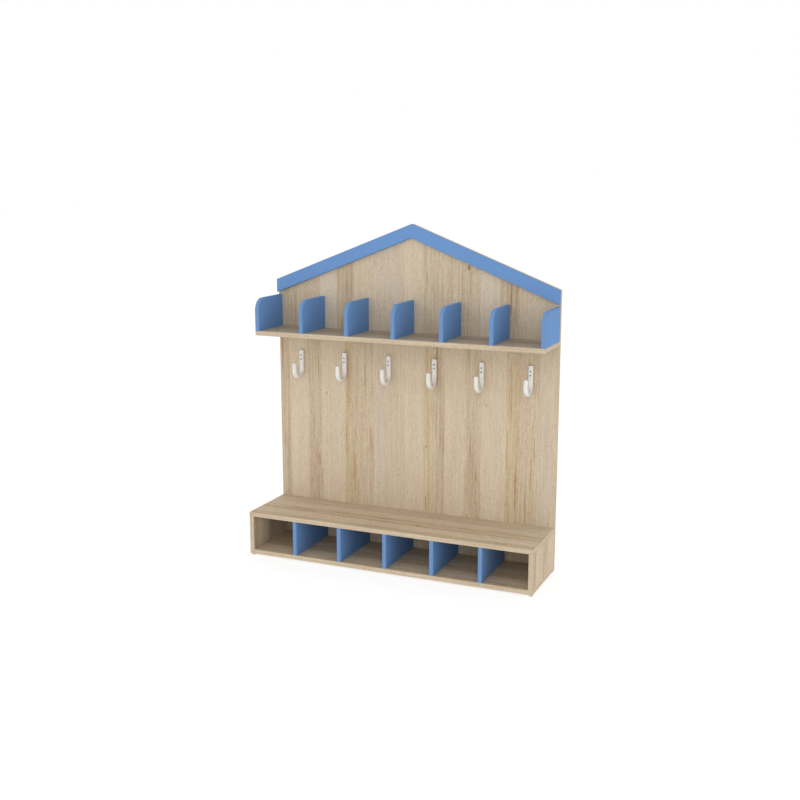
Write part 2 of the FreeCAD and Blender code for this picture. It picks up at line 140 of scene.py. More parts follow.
class Shader:
    """Node tree of one material."""

    def __init__(self, name: str) -> None:
        """Starts an empty material.

        Args:
            name: Name of the material.
        """
        self.material = bpy.data.materials.new(name)
        self.material.use_nodes = True
        self.material.node_tree.nodes.clear()

    def node(self, kind: str, settings: Settings, inputs: Inputs) -> bpy.types.Node:
        """Adds one node, sets it up and connects it.

        Args:
            kind: Blender's name of the node type.
            settings: Properties, set first; stops are a ramp's positions and grey levels.
            inputs: A value, colour or link for each input socket, by the socket's identifier.

        Returns:
            The new node.
        """
        tree = self.material.node_tree
        made = tree.nodes.new(kind)
        for name, setting in settings.items():
            if name == "stops":
                self._set_stops(made.color_ramp, setting)
            else:
                setattr(made, name, setting)
        sockets = {socket.identifier: socket for socket in made.inputs}
        for name, given in inputs.items():
            source = given.socket if isinstance(given, Value) else given
            if isinstance(source, Socket):
                tree.links.new(source, sockets[name])
            else:
                sockets[name].default_value = source
        return made

    @staticmethod
    def _set_stops(ramp: bpy.types.ColorRamp, stops: Sequence[tuple[float, float]]) -> None:
        """Gives a ramp steps of plain grey, each held up to the next.

        Args:
            ramp: The ramp.
            stops: Position and level of each step.
        """
        ramp.interpolation = "CONSTANT"
        while len(ramp.elements) < len(stops):
            ramp.elements.new(1.0)
        for element, (position, level) in zip(ramp.elements, stops):
            element.position = position
            element.color = (level, level, level, 1.0)

    def output(self, kind: str, settings: Settings, inputs: Inputs, name: str) -> Socket:
        """Adds a node and takes its output of that identifier."""
        made = self.node(kind, settings, inputs)
        return next(socket for socket in made.outputs if socket.identifier == name)

    def value(self, kind: str, settings: Settings, inputs: Inputs, name: str) -> Value:
        """Adds a node and takes its output of that identifier as a number."""
        return Value(self, self.output(kind, settings, inputs, name))

    def math(self, operation: str, *terms: Input) -> Value:
        """Adds a Math node on the terms."""
        names = ("Value", "Value_001", "Value_002")
        return self.value("ShaderNodeMath", {"operation": operation}, dict(zip(names, terms)), "Value")

    def axes(self, source: str) -> list[Value]:
        """X, Y and Z of a Texture Coordinate output, Object or UV, in metres."""
        inputs = {"Vector": self.output("ShaderNodeTexCoord", {}, {}, source)}
        return [Value(self, part) for part in self.node("ShaderNodeSeparateXYZ", {}, inputs).outputs]

    def noise(self, place: Sequence[Input], seed: Input, octaves: float) -> Value:
        """Smooth noise about one half, with features one unit apart.

        Args:
            place: Coordinates already divided by the size of a feature.
            seed: Fourth coordinate, which sets one pattern apart from the next.
            octaves: How many finer octaves are added.

        Returns:
            The noise value.
        """
        spot = self.output("ShaderNodeCombineXYZ", {}, dict(zip("XYZ", place)), "Vector")
        inputs = {"Vector": spot, "W": seed, "Scale": 1.0, "Detail": octaves}
        return self.value("ShaderNodeTexNoise", {"noise_dimensions": "4D"}, inputs, "Fac")

    def speckle(self, look: Speckle) -> Value:
        """Noise over the object, with its coordinates divided by the features' sizes."""
        place = [axis / size for axis, size in zip(self.axes("Object"), look.sizes)]
        return self.noise(place, look.seed, look.octaves)

    def steps(self, place: Value, stops: Sequence[tuple[float, float]]) -> Value:
        """Stepped ramp of grey levels."""
        return self.value("ShaderNodeValToRGB", {"stops": stops}, {"Fac": place}, "Color")

    def blend(self, share: Input, first: Input, last: Input, mode: str = "MIX") -> Socket:
        """Colour from the first to the last by a share, in one of Blender's blend modes."""
        inputs = {"Factor_Float": share, "A_Color": first, "B_Color": last}
        return self.output("ShaderNodeMix", {"data_type": "RGBA", "blend_type": mode}, inputs, "Result_Color")

    def bump(self, height: Value, depth: float, strength: float) -> Socket:
        """Normal of a surface that rises by the depth where the height is one."""
        inputs = {"Height": height, "Distance": depth, "Strength": strength}
        return self.output("ShaderNodeBump", {}, inputs, "Normal")

    def finish(self, **sockets: Input) -> Material:
        """Closes the tree with one Principled shader.

        Args:
            sockets: Its inputs, with underscores for the spaces in their names.

        Returns:
            The finished material.
        """
        inputs = {name.replace("_", " "): given for name, given in sockets.items()}
        surface = self.output("ShaderNodeBsdfPrincipled", {}, inputs, "BSDF")
        self.node("ShaderNodeOutputMaterial", {}, {"Surface": surface})
        return self.material


# Finishes


@dataclass(frozen=True)
class Shade:
    """A colour by its display levels from 0 to 255."""

    red: float
    green: float
    blue: float

    def linear(self) -> tuple[float, float, float, float]:
        """The colour as linear light, opaque: the display curve undone."""
        level = np.array([self.red, self.green, self.blue]) / 255
        return (*np.where(level <= 0.04045, level / 12.92, ((level + 0.055) / 1.055) ** 2.4).tolist(), 1.0)


class Tone(Enum):
    """How light a plank of the decor is, from 0 to 1."""

    PALE = 0.69
    EVEN = 0.59
    DIM = 0.45
    DARK = 0.34


class Hue(Enum):
    """How warm a plank of the decor is, from 0 to 1."""

    COOL = 0.1
    PLAIN = 0.5
    WARM = 0.95


COOL_TINT = (0.975, 1.0, 1.055, 1.0)
WARM_TINT = (1.01, 0.975, 0.915, 1.0)


@dataclass(frozen=True)
class Plank:
    """One plank of the printed decor."""

    breadth: float
    tone: Tone
    hue: Hue


PLANKS = (
    Plank(0.082, Tone.PALE, Hue.PLAIN),
    Plank(0.068, Tone.DIM, Hue.PLAIN),
    Plank(0.105, Tone.PALE, Hue.PLAIN),
    Plank(0.048, Tone.DIM, Hue.WARM),
    Plank(0.080, Tone.DIM, Hue.PLAIN),
    Plank(0.062, Tone.EVEN, Hue.COOL),
    Plank(0.075, Tone.EVEN, Hue.PLAIN),
    Plank(0.085, Tone.PALE, Hue.PLAIN),
    Plank(0.042, Tone.DIM, Hue.WARM),
    Plank(0.048, Tone.DARK, Hue.PLAIN),
)
UPPER_PLANKS = (
    Plank(0.145, Tone.DIM, Hue.PLAIN),
    Plank(0.075, Tone.PALE, Hue.COOL),
    Plank(0.080, Tone.DARK, Hue.PLAIN),
    Plank(0.085, Tone.EVEN, Hue.PLAIN),
    Plank(0.135, Tone.EVEN, Hue.COOL),
    Plank(0.080, Tone.PALE, Hue.PLAIN),
    Plank(0.095, Tone.DIM, Hue.PLAIN),
)
LEVEL_PLANKS = (
    Plank(0.052, Tone.PALE, Hue.PLAIN),
    Plank(0.060, Tone.DIM, Hue.WARM),
    Plank(0.056, Tone.PALE, Hue.PLAIN),
    Plank(0.048, Tone.DIM, Hue.WARM),
    Plank(0.034, Tone.EVEN, Hue.WARM),
    Plank(0.044, Tone.EVEN, Hue.PLAIN),
)
JOINT_LINE = 0.0002


class Grain(Enum):
    """Which way the grain runs: the axes along it, across it on the face, and through the board."""

    UPRIGHT = ("Z", "X", "Y")
    UPRIGHT_SIDE = ("Z", "Y", "X")
    LENGTHWISE = ("X", "Y", "Z")
    BAND = ()


@dataclass(frozen=True)
class Mark:
    """A brown mark in the decor: its place across and along the grain, its half-sizes and its depth."""

    across: float
    along: float
    breadth: float
    length: float
    depth: float


PANEL_MARKS = (
    Mark(0.235, 1.181, 0.006, 0.013, 0.85),
    Mark(-0.287, 1.083, 0.004, 0.100, 0.45),
    Mark(-0.266, 1.093, 0.003, 0.080, 0.40),
    Mark(0.063, 1.133, 0.003, 0.060, 0.40),
    Mark(0.125, 1.093, 0.003, 0.045, 0.40),
    Mark(-0.382, 0.646, 0.003, 0.006, 0.60),
    Mark(0.062, 0.458, 0.004, 0.007, 0.65),
    Mark(-0.440, 0.333, 0.034, 0.170, 0.16),
    Mark(-0.421, 0.353, 0.008, 0.030, 0.28),
    Mark(-0.445, 0.493, 0.003, 0.070, 0.40),
    Mark(-0.283, 0.693, 0.010, 0.150, 0.25),
    Mark(-0.294, 0.473, 0.003, 0.100, 0.40),
    Mark(-0.257, 0.323, 0.004, 0.110, 0.55),
    Mark(-0.183, 0.478, 0.003, 0.055, 0.45),
    Mark(0.060, 0.228, 0.003, 0.035, 0.55),
    Mark(0.106, 0.815, 0.003, 0.125, 0.80),
)
SIDE_MARKS = (
    Mark(0.015, 0.121, 0.005, 0.026, 0.34),
    Mark(-0.006, 0.103, 0.006, 0.060, 0.16),
)
SEAT_MARKS = (
    Mark(0.016, -0.260, 0.005, 0.013, 0.62),
    Mark(0.016, -0.225, 0.004, 0.011, 0.50),
    Mark(0.046, 0.100, 0.005, 0.013, 0.60),
    Mark(0.025, 0.145, 0.004, 0.012, 0.45),
    Mark(0.130, 0.455, 0.004, 0.012, 0.55),
    Mark(0.130, 0.480, 0.005, 0.014, 0.62),
    Mark(-0.112, -0.250, 0.005, 0.380, 0.20),
    Mark(-0.064, -0.150, 0.006, 0.520, 0.24),
    Mark(0.053, 0.080, 0.005, 0.460, 0.24),
)


@dataclass(frozen=True)
class Layer:
    """A layer of the oak's figure: the size of its features, its octaves and its weight.

    On dark planks the weight grows by the busy weight. Spots show where the noise passes the limits.
    """

    breadth: float
    length: float
    octaves: float
    weight: float
    busy_weight: float = 0.0
    limits: tuple[float, float] = (0.0, 1.0)


@dataclass(frozen=True)
class OakDecor:
    """Printed oak decor: planks of several tones with cloudy figure, streaks, fibres, flecks and marks."""

    name: str
    grain: Grain
    start: float = 0.0
    turned: bool = False
    pale: Shade = Shade(214, 199, 175)
    dark: Shade = Shade(178, 158, 131)
    brown: Shade = Shade(146, 100, 64)
    marks: tuple[Mark, ...] = ()
    planks: tuple[Plank, ...] = PLANKS
    upper: tuple[Plank, ...] = ()
    joint: float = 0.0
    middle: float = 0.0
    cloud: Layer = Layer(0.045, 0.30, 2, 0.34)
    figure: Layer = Layer(0.012, 0.60, 1, 0.24, 0.42)
    streak: Layer = Layer(0.0040, 0.30, 1, 0.5, 0.55)
    fibre: Layer = Layer(0.0026, 0.035, 1, 0.75)
    speck: Layer = Layer(0.0030, 0.008, 1, 1.1)
    stain: Layer = Layer(0.0032, 0.14, 1, 0.10, 0.46, (0.58, 0.74))
    cluster: Layer = Layer(0.030, 0.12, 1, 0.2, 0.4, (0.48, 0.64))
    pore: Layer = Layer(0.0019, 0.013, 1, 0.10, limits=(0.58, 0.76))

    @property
    def breadth(self) -> float:
        """Breadth over which the decor repeats."""
        return sum(plank.breadth for plank in self.planks)

    def _places(self, shader: Shader) -> tuple[Value, Value, Value]:
        """Coordinates that follow the grain.

        Args:
            shader: Shader of the material.

        Returns:
            Places along the grain, across it and through the board.
        """
        if self.grain is Grain.BAND:
            along, across, _ = shader.axes("UV")
            return along, across, across * 0
        by_axis = dict(zip("XYZ", shader.axes("Object")))
        along, across, through = (by_axis[axis] for axis in self.grain.value)
        return along, 0 - across if self.turned else across, through

    def _course(self, shader: Shader, place: Value, planks: Sequence[Plank]) -> list[Value]:
        """Tone and warmth of a row of planks.

        Args:
            shader: Shader of the material.
            place: Place across the decor, from 0 to 1.
            planks: The planks of the row.

        Returns:
            Tone and warmth.
        """
        edges = np.cumsum([0.0] + [plank.breadth for plank in planks[:-1]]) / self.breadth
        levels = ([plank.tone.value for plank in planks], [plank.hue.value for plank in planks])
        return [shader.steps(place, list(zip(edges, level))) for level in levels]

    def _planks(self, shader: Shader, along: Value, across: Value, through: Value) -> list[Value]:
        """Tone and warmth of the plank at each place.

        A band is cut from one plank. Where there are upper planks they lie past the joint, on the
        face before the board's middle.

        Args:
            shader: Shader of the material.
            along: Places along the grain.
            across: Places across it.
            through: Places through the board.

        Returns:
            Tone and warmth.
        """
        if self.grain is Grain.BAND:
            return [across * 0 + Tone.EVEN.value, across * 0 + Hue.PLAIN.value]
        place = ((across - self.start) / self.breadth).fract()
        lower = self._course(shader, place, self.planks)
        if not self.upper:
            return lower
        past = along.step(self.joint, self.joint + JOINT_LINE)
        share = past * through.step(self.middle + JOINT_LINE, self.middle)
        upper = self._course(shader, place, self.upper)
        return [low + (high - low) * share for low, high in zip(lower, upper)]

    def _marked(self, along: Value, across: Value, wander: Value) -> Value:
        """Depth of the marks: an oval fall-off about each place, with a ragged rim.

        Args:
            along: Places along the grain.
            across: Places across it; the marks repeat with the decor.
            wander: Noise that roughens the rims.

        Returns:
            The depth.
        """
        depth = across * 0
        for mark in self.marks:
            aside = ((across - mark.across) / self.breadth + 0.5).fract() - 0.5
            aside = aside * (self.breadth / mark.breadth)
            apart = (along - mark.along) / mark.length
            depth = depth + (aside * aside + apart * apart + wander * 2).step(1.2, 0.1) * mark.depth
        return depth

    def material(self) -> Material:
        """Builds the decor.

        Returns:
            Material with the decor's colour, sheen and pores.
        """
        shader = Shader(self.name)
        along, across, through = self._places(shader)
        tone, hue = self._planks(shader, along, across, through)
        seed = tone * 9 + hue * 5
        busy = tone.step(Tone.PALE.value, Tone.DARK.value)

        def noise(layer: Layer) -> Value:
            """Noise drawn out along the grain."""
            place = (along / layer.length, across / layer.breadth, through / layer.breadth)
            return shader.noise(place, seed, layer.octaves)

        def weight(layer: Layer) -> Value:
            """Weight of a layer on its plank."""
            return layer.weight + layer.busy_weight * busy

        def spots(layer: Layer) -> Value:
            """Where the noise of a layer passes its limits."""
            return noise(layer).step(*layer.limits)

        fibre = noise(self.fibre) - 0.5
        lightness = tone + fibre * self.fibre.weight
        for layer in (self.cloud, self.figure, self.streak, self.speck):
            lightness = lightness + (noise(layer) - 0.5) * weight(layer)
        colour = shader.blend(lightness, self.dark.linear(), self.pale.linear())
        colour = shader.blend(1.0, colour, shader.blend(hue, COOL_TINT, WARM_TINT), "MULTIPLY")
        brown = self.brown.linear()
        colour = shader.blend(spots(self.stain) * weight(self.stain), colour, brown)
        clusters = spots(self.cluster) * weight(self.cluster)
        pores = spots(self.pore) * (self.pore.weight + clusters)
        colour = shader.blend(pores, colour, brown)
        if self.marks:
            colour = shader.blend(self._marked(along, across, fibre), colour, brown)
        roughness = 0.56 + fibre * 0.18 + pores * 0.4
        normal = shader.bump(fibre * 0.5 - pores * 2, 0.0002, 0.35)
        return shader.finish(Base_Color=colour, Roughness=roughness, Normal=normal, Specular_IOR_Level=0.06)


@dataclass(frozen=True)
class BlueLaminate:
    """Plain blue laminate with a fine pearl texture and a faint cloudiness."""

    name: str
    shade: Shade
    deep: Shade
    cloud: Speckle = Speckle(1.0, 3, (0.09, 0.09, 0.09))
    pearl: Speckle = Speckle(2.0, 1, (0.0011, 0.0011, 0.0011))
    speck: Speckle = Speckle(3.0, 2, (0.0032, 0.0032, 0.0032))

    def material(self) -> Material:
        """Builds the laminate.

        Returns:
            Material with the laminate's colour, sheen and texture.
        """
        shader = Shader(self.name)
        speck = shader.speckle(self.speck) - 0.5
        share = 0.5 + (shader.speckle(self.cloud) - 0.5) * 0.6 + speck * 0.5
        colour = shader.blend(share, self.deep.linear(), self.shade.linear())
        roughness = 0.55 + speck * 0.25
        normal = shader.bump(shader.speckle(self.pearl), 0.0001, 0.3)
        return shader.finish(Base_Color=colour, Roughness=roughness, Normal=normal, Specular_IOR_Level=0.02)


@dataclass(frozen=True)
class MouldedPlastic:
    """Satin moulding with a fine spark-eroded texture and faint flow marks."""

    name: str
    shade: Shade
    shadow: Shade
    roughness: float
    flow: Speckle = Speckle(4.0, 3, (0.010, 0.014, 0.030))
    spark: Speckle = Speckle(5.0, 1, (0.0006, 0.0006, 0.0006))

    def material(self) -> Material:
        """Builds the plastic.

        Returns:
            Material with the plastic's colour, sheen and texture.
        """
        shader = Shader(self.name)
        flow = shader.speckle(self.flow).step(0.25, 0.75)
        spark = shader.speckle(self.spark)
        colour = shader.blend(flow, self.shadow.linear(), self.shade.linear())
        roughness = self.roughness + (spark - 0.5) * 0.2
        normal = shader.bump(spark, 0.00006, 0.3)
        return shader.finish(Base_Color=colour, Roughness=roughness, Normal=normal, Specular_IOR_Level=0.45)


@dataclass(frozen=True)
class ZincSteel:
    """Zinc-plated steel with turning lines round each head and a cloudy dulling."""

    name: str
    bright: Shade = Shade(176, 177, 184)
    dull: Shade = Shade(112, 113, 121)
    cloud: Speckle = Speckle(6.0, 3, (0.003, 0.003, 0.003))
    line: float = 0.00018
    line_seed: float = 7.0

    def material(self) -> Material:
        """Builds the plating.

        Returns:
            Material with the plating's colour, sheen and turning lines.
        """
        shader = Shader(self.name)
        cloud = shader.speckle(self.cloud)
        _, length, _ = shader.axes("UV")
        lines = shader.noise((length / self.line, 0.0, 0.0), self.line_seed, 1)
        colour = shader.blend(cloud.step(0.3, 0.7), self.dull.linear(), self.bright.linear())
        roughness = 0.40 + (cloud - 0.5) * 0.3 + (lines - 0.5) * 0.1
        normal = shader.bump(lines, 0.00003, 0.4)
        return shader.finish(Base_Color=colour, Roughness=roughness, Metallic=1.0, Normal=normal)


@dataclass(frozen=True)
class Beech:
    """Plain beech with short dark flecks along the grain."""

    name: str
    pale: Shade = Shade(214, 182, 140)
    fleck: Shade = Shade(160, 118, 78)
    grain: Speckle = Speckle(8.0, 2, (0.0006, 0.0006, 0.006))

    def material(self) -> Material:
        """Builds the beech.

        Returns:
            Material with the wood's colour and flecks.
        """
        shader = Shader(self.name)
        grain = shader.speckle(self.grain)
        colour = shader.blend(grain.step(0.5, 0.75) * 0.8, self.pale.linear(), self.fleck.linear())
        normal = shader.bump(grain, 0.0001, 0.3)
        return shader.finish(Base_Color=colour, Roughness=0.6 + (grain - 0.5) * 0.2, Normal=normal)


@dataclass(frozen=True)
class Trim:
    """Finish of the edge bands on boards of one colour, with its slot in the record."""

    slot: str
    material: Material


class Finishes:
    """The materials of the whole bench, each made once."""

    def __init__(self) -> None:
        """Builds every finish from the frame's own places."""
        panel_low, panel_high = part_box("back_panel_band")
        shelf_low, shelf_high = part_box("shelf")
        seat_start = 0.078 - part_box("bench_seat")[1].y
        self.panel = OakDecor(
            "oak_upright", Grain.UPRIGHT, panel_low.x + 0.045, marks=PANEL_MARKS, upper=UPPER_PLANKS,
            joint=(shelf_low.z + shelf_high.z) / 2, middle=(panel_low.y + panel_high.y) / 2,
        ).material()
        self.sides = OakDecor(
            "oak_upright_side", Grain.UPRIGHT_SIDE, -0.111,
            pale=Shade(218, 201, 176), dark=Shade(162, 140, 110), marks=SIDE_MARKS,
        ).material()
        self.level = OakDecor(
            "oak_lengthwise", Grain.LENGTHWISE, seat_start, True,
            Shade(211, 196, 172), Shade(161, 141, 116), marks=SEAT_MARKS, planks=LEVEL_PLANKS,
        ).material()
        # The shelf's decor is darker and greyer than the seat's: painted shade for the shelf top, which lies
        # between the dividers and gets less light.
        self.shelf = OakDecor(
            "oak_shelf_painted_shade", Grain.LENGTHWISE, seat_start + 0.1, True,
            Shade(186, 173, 154), Shade(130, 117, 101), planks=LEVEL_PLANKS,
        ).material()
        oak_band = OakDecor(
            "oak_edge_band", Grain.BAND, pale=Shade(210, 195, 170), dark=Shade(168, 148, 122)
        )
        self.oak_trim = Trim("oak_band", oak_band.material())
        self.blue = BlueLaminate("blue_laminate", Shade(110, 148, 198), Shade(105, 142, 191)).material()
        blue_band = BlueLaminate("blue_edge_band", Shade(107, 143, 189), Shade(102, 138, 184))
        self.blue_trim = Trim("blue_band", blue_band.material())
        hook = MouldedPlastic("hook_plastic", Shade(231, 229, 225), Shade(219, 216, 210), 0.38)
        self.hook = hook.material()
        glide = MouldedPlastic("glide_plastic", Shade(214, 203, 184), Shade(202, 190, 170), 0.5)
        self.glide = glide.material()
        self.steel = ZincSteel("zinc_steel").material()
        self.beech = Beech("beech_dowel").material()


# Surfaces


def join(*parts: Array) -> Array:
    """Coordinates side by side: the parts brought to one shape and stacked on a new last axis."""
    return np.stack(np.broadcast_arrays(*parts), axis=-1)


class Plane(Enum):
    """Plane of an outline: the numbers of its two axes, then of the axis across it."""

    LEVEL = (0, 1, 2)
    FACING = (0, 2, 1)
    SIDEWAYS = (1, 2, 0)

    def lift(self, flat: Array, across: Array) -> Array:
        """Points in space: those of the plane, at their places on the axis across it."""
        parts = (flat[..., 0], flat[..., 1], across)
        return join(*(parts[self.value.index(axis)] for axis in range(3)))


@dataclass
class Surface:
    """Grids and caps gathered for one piece, then welded into closed shells."""

    points: list[Array] = field(default_factory=list)
    coords: list[Array] = field(default_factory=list)
    faces: list[list[int]] = field(default_factory=list)

    def _start(self, points: Array, coords: Array) -> int:
        """Stores points with their texture places.

        Args:
            points: Points in space.
            coords: Texture place of each point.

        Returns:
            Number of the first point.
        """
        first = sum(len(block) for block in self.points)
        self.points.append(points.reshape(-1, 3))
        self.coords.append(coords.reshape(-1, 2))
        return first

    def grid(self, points: Array, coords: Array) -> None:
        """Adds quads between neighbouring rows and columns.

        Args:
            points: Rows by columns of points; a ring ends with its first point again.
            coords: Texture place of each point, in metres.
        """
        rows, columns = points.shape[:2]
        index = self._start(points, coords) + np.arange(rows * columns).reshape(rows, columns)
        quads = np.stack([index[:-1, :-1], index[:-1, 1:], index[1:, 1:], index[1:, :-1]], axis=-1)
        self.faces.extend(quads.reshape(-1, 4).tolist())

    def cap(self, ring: Array, coords: Array) -> None:
        """Adds one flat face inside a ring that ends with its first point again."""
        first = self._start(ring[:-1], coords[:-1])
        self.faces.append(list(range(first, first + len(ring) - 1)))

    def piece(self, name: str, material: Material) -> Piece:
        """Welds the shells and makes the object.

        Args:
            name: Name of the piece.
            material: Its finish.

        Returns:
            Object at the origin, with its place in its mesh.
        """
        mesh = bpy.data.meshes.new(name)
        mesh.from_pydata(np.concatenate(self.points), [], self.faces)
        corners = np.empty(len(mesh.loops), dtype=np.int32)
        mesh.loops.foreach_get("vertex_index", corners)
        places = np.concatenate(self.coords)[corners]
        mesh.uv_layers.new(name="UVMap").data.foreach_set("uv", places.astype(np.float32).ravel())
        shell = bmesh.new()
        shell.from_mesh(mesh)
        bmesh.ops.remove_doubles(shell, verts=shell.verts, dist=WELD)
        bmesh.ops.recalc_face_normals(shell, faces=shell.faces)
        shell.to_mesh(mesh)
        shell.free()
        mesh.polygons.foreach_set("use_smooth", np.ones(len(mesh.polygons), dtype=bool))
        mesh.set_sharp_from_angle(angle=SHARP_ANGLE)
        mesh.materials.append(material)
        made = bpy.data.objects.new(name, mesh)
        bpy.context.scene.collection.objects.link(made)
        flats = made.modifiers.new("flat_faces", "WEIGHTED_NORMAL")
        flats.keep_sharp = True
        return made


def lengths(points: Array) -> Array:
    """Distance along a line of points from its first: the running sum of its steps."""
    steps = np.linalg.norm(np.diff(points, axis=0), axis=1)
    return np.concatenate([[0.0], np.cumsum(steps)])


def arc(centre: Sequence[float], radius: float, first: float, last: float, steps: int) -> Array:
    """Points of an arc between two angles: the centre plus the radius times cosine and sine."""
    turn = np.linspace(first, last, steps + 1)
    return np.array(centre) + radius * join(np.cos(turn), np.sin(turn))


def mitres(line: Array, cut: Optional[Array] = None) -> Array:
    """Shift of each point of a line for an offset of one to its right.

    At a corner it is the sum of the two normals over one plus their product, and at an end that is
    cut along a direction it is that direction over its part along the normal.

    Args:
        line: Points of the line on its plane.
        cut: Direction of the cut at both ends; square cuts where it is left out.

    Returns:
        One shift for each point.
    """
    run = np.diff(line, axis=0)
    run /= np.linalg.norm(run, axis=1, keepdims=True)
    normal = join(run[:, 1], -run[:, 0])
    before = np.vstack([normal[:1], normal])
    after = np.vstack([normal, normal[-1:]])
    shift = (before + after) / (1 + np.sum(before * after, axis=1, keepdims=True))
    if cut is not None:
        shift[0] = cut / (cut @ normal[0])
        shift[-1] = cut / (cut @ normal[-1])
    return shift


def numbered(stem: str, count: int) -> list[str]:
    """Names of a row of CAD nodes."""
    return [f"{stem}_{number}" for number in range(1, count + 1)]


def middle(node: str, axis: int) -> float:
    """Middle of a CAD node's box on one axis."""
    low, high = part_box(node)
    return (low[axis] + high[axis]) / 2


def settle(piece: Piece, slot: str, node: str) -> Piece:
    """Lets a piece ride on the bench in place of a CAD node.

    Args:
        piece: The piece.
        slot: Its material slot in the record; not used.
        node: Name of the node.

    Returns:
        The piece.
    """
    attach(piece, BODY)
    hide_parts(node)
    return piece


def dress(material: Material, *nodes: str) -> Pieces:
    """Gives CAD nodes a finish.

    Args:
        material: The finish.
        nodes: Names of the nodes.

    Returns:
        The nodes' objects.
    """
    dressed = [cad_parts[node] for node in nodes]
    for node in dressed:
        node.data.materials.clear()
        node.data.materials.append(material)
    return dressed


@dataclass(frozen=True)
class EdgeBand:
    """A band glued round some edges of a board, with soft arrises, in place of its CAD node."""

    node: str
    name: str
    plane: Plane
    trim: Trim
    depth: float = BAND_DEPTH
    arris: float = 0.0009

    def section(self, breadth: float) -> Array:
        """Ring of the band: a rectangle out from the glue line, with quarter circles at its outer corners.

        Args:
            breadth: Breadth of the band, the board's thickness.

        Returns:
            Ring of places out from the board and across it, which ends with its first point again.
        """
        inset = self.depth - self.arris
        low = arc((inset, self.arris), self.arris, -QUARTER, 0, ARRIS_STEPS)
        high = arc((inset, breadth - self.arris), self.arris, 0, QUARTER, ARRIS_STEPS)
        return np.vstack([(0, 0), low, high, (0, breadth), (0, 0)])

    def build(self, line: Array, cut: Optional[Array] = None) -> Piece:
        """Carries the band's section along a line: line point plus offset times mitre, lifted across.

        Args:
            line: Edge of the board's core, with the band on its right.
            cut: Direction of the cut at both ends, if it isn't square.

        Returns:
            The band, settled in place of its node.
        """
        low, high = (corner[self.plane.value[2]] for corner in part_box(self.node))
        section = self.section(high - low)
        flat = line[:, None, :] + section[None, :, :1] * mitres(line, cut)[:, None, :]
        points = self.plane.lift(flat, low + section[None, :, 1])
        coords = join(lengths(line)[:, None], lengths(section)[None, :])
        surface = Surface()
        surface.grid(points, coords)
        for end in (0, -1):
            surface.cap(points[end], coords[end])
        return settle(surface.piece(self.name, self.trim.material), self.trim.slot, self.node)


def level_band(node: str, name: str, trim: Trim) -> Piece:
    """Band round the left end, the front and the right end of a level board."""
    (left, front, _), (right, rear, _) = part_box(node)
    return EdgeBand(f"{node}_band", name, Plane.LEVEL, trim).build(
        np.array([(left, rear), (left, front), (right, front), (right, rear)])
    )


def upright_band(node: str, line: Array, trim: Trim) -> Piece:
    """Band on the edge of an upright board; its line is the core's edge, with the band on its right."""
    return EdgeBand(node, node.replace("band", "edge"), Plane.SIDEWAYS, trim).build(line)


def banded(stem: str, count: int) -> list[tuple[str, str]]:
    """CAD nodes of a row of boards, each with that of its band."""
    return list(zip(numbered(stem, count), numbered(f"{stem}_band", count)))


# Sub-assemblies


@dataclass
class BackPanel:
    """The gabled panel that carries everything, with a band on its sides and slopes."""

    finishes: Finishes
    rise: float = ROOF_RISE

    def outline(self) -> Array:
        """Edge of the core from the right foot over the ridge to the left foot.

        Returns:
            Points on the facing plane, with the band on their right.
        """
        low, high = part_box("back_panel_band")
        slope = self.rise / high.x
        side = high.x - BAND_DEPTH
        ridge = high.z - BAND_DEPTH * np.hypot(1, slope)
        eave = ridge - side * slope
        return np.array([(side, low.z), (side, eave), (0, ridge), (-side, eave), (-side, low.z)])

    def build(self) -> Pieces:
        """Builds the band and dresses the panel."""
        band = EdgeBand("back_panel_band", "panel_band", Plane.FACING, self.finishes.oak_trim)
        return [band.build(self.outline()), *dress(self.finishes.panel, "back_panel")]


@dataclass
class RoofStrips:
    """The two blue strips along the slopes, mitred at the ridge."""

    finishes: Finishes
    rise: float = ROOF_RISE
    breadth: float = STRIP_BREADTH
    mitre: tuple[float, float] = (0.0, 1.0)

    def outline(self, hand: int) -> Array:
        """Edge of a strip's core from the ridge round the eave and back to the ridge.

        Args:
            hand: Minus one for the left strip and one for the right one.

        Returns:
            Points on the facing plane, with the band on their right.
        """
        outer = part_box("roof_strip_right_band")[1]
        slope = self.rise / outer.x
        secant = np.hypot(1, slope)
        side = outer.x - BAND_DEPTH
        top = outer.z - BAND_DEPTH * secant
        foot = outer.z - (self.breadth - BAND_DEPTH) * secant
        fall = side * slope
        line = np.array([(0, top), (hand * side, top - fall), (hand * side, foot - fall), (0, foot)])
        return line if hand < 0 else line[::-1]

    def build(self) -> Pieces:
        """Builds the bands and dresses the strips.

        Returns:
            The bands and the strips.
        """
        pieces = []
        for name, hand in (("left", -1), ("right", 1)):
            node = f"roof_strip_{name}_band"
            band = EdgeBand(node, f"strip_band_{name}", Plane.FACING, self.finishes.blue_trim)
            pieces.append(band.build(self.outline(hand), np.array(self.mitre)))
        return pieces + dress(self.finishes.blue, "roof_strip_left", "roof_strip_right")


